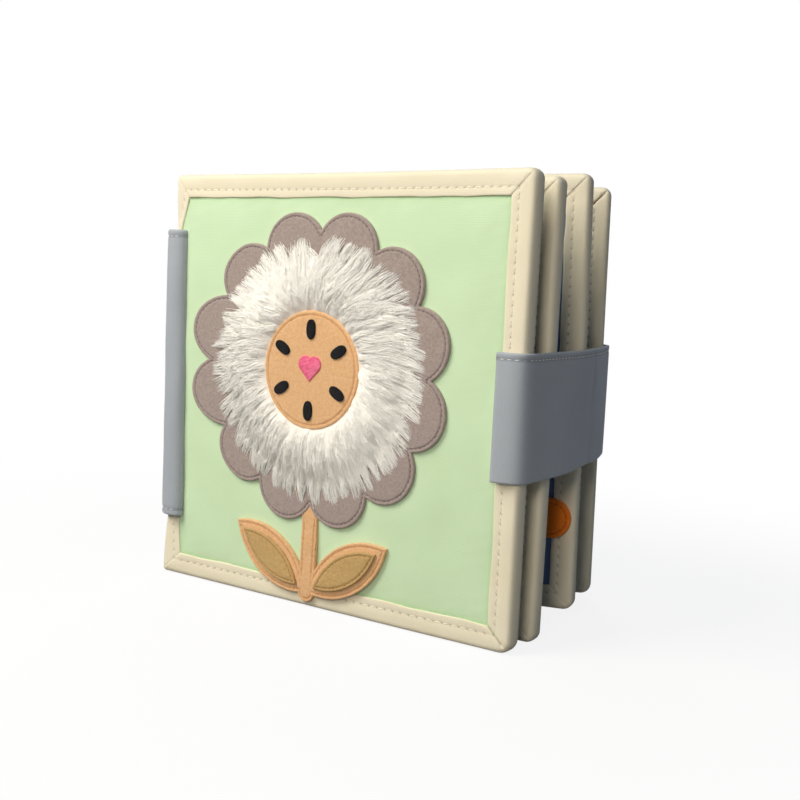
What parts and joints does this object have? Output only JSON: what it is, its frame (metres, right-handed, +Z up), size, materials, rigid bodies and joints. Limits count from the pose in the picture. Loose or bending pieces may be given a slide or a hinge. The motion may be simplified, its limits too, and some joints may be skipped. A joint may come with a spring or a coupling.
{
  "type": "quiet book",
  "caption": "Square cloth quiet book standing upright with fanned padded pages, tape edging, a twill spine band, a closure strap and a felt flower on its cover.",
  "frame": {"origin": "middle of the footprint, on the surface that the pages' bottom edges stand on", "axes": "+X from the spine to the front cover's fore-edge, +Y from the front cover to the back cover, +Z up; the front cover faces -Y"},
  "size_m": [0.209, 0.1264, 0.2049],
  "materials": {
    "edging_tape": "folded cotton bias tape, matt, ecru",
    "green_cotton": "plain-woven cotton, matt, pale green",
    "slate_cotton": "plain-woven cotton, matt, slate grey",
    "navy_cotton": "plain-woven cotton, matt, navy",
    "brick_cotton": "plain-woven cotton, matt, brick red",
    "blue_twill": "cotton twill, matt, grey-blue",
    "wadding": "polyester wadding, inside the pages",
    "hook_tape": "hook and loop tape, ecru",
    "grey_felt": "wool felt, matt, mauve grey, stitched near its edge",
    "white_fur": "long-pile faux fur, ivory white",
    "peach_felt": "wool felt, matt, peach, stitched near its edge",
    "caramel_felt": "wool felt, matt, caramel",
    "black_felt": "wool felt, matt, black",
    "pink_satin": "satin-stitched embroidery thread, pink, soft gloss",
    "orange_felt": "wool felt, matt, orange, stitched near its edge"
  },
  "bodies": {
    "page_block": {"first_leaf_padding": "wadding", "first_leaf_front_panel": "slate_cotton", "first_leaf_back_panel": "slate_cotton", "first_leaf_binding": "edging_tape", "second_leaf_padding": "wadding", "second_leaf_front_panel": "navy_cotton", "second_leaf_back_panel": "slate_cotton", "second_leaf_binding": "edging_tape", "felt_tab": "orange_felt", "first_leaf_hinge_tape": "edging_tape", "second_leaf_hinge_tape": "edging_tape", "spine_band": "blue_twill"},
    "front_cover": {"front_cover_padding": "wadding", "front_cover_panel": "green_cotton", "front_cover_lining": "slate_cotton", "front_cover_binding": "edging_tape", "cover_loop_patch": "hook_tape", "flower_petals": "grey_felt", "flower_fur": "white_fur", "flower_centre": "peach_felt", "flower_seeds": "black_felt", "flower_heart": "pink_satin", "flower_stem": "peach_felt", "flower_leaves": "peach_felt", "flower_leaf_inlays": "caramel_felt"},
    "back_cover": {"back_cover_padding": "wadding", "back_cover_lining": "brick_cotton", "back_cover_panel": "green_cotton", "back_cover_binding": "edging_tape", "closure_strap": "blue_twill", "strap_hook_patch": "hook_tape"}
  },
  "joints": [
    {"name": "front_cover_hinge", "type": "hinge", "parent": "page_block", "child": "front_cover", "pos_m": [-0.10065, -0.04522, 0.1], "axis": [0, 0, -1], "range_deg": [0, 170], "deforming": ["spine_band", "closure_strap", "strap_hook_patch"]},
    {"name": "back_cover_hinge", "type": "hinge", "parent": "page_block", "child": "back_cover", "pos_m": [-0.10041, -0.02539, 0.1], "axis": [0, 0, 1], "range_deg": [0, 150], "deforming": ["spine_band", "closure_strap", "strap_hook_patch"]}
  ]
}
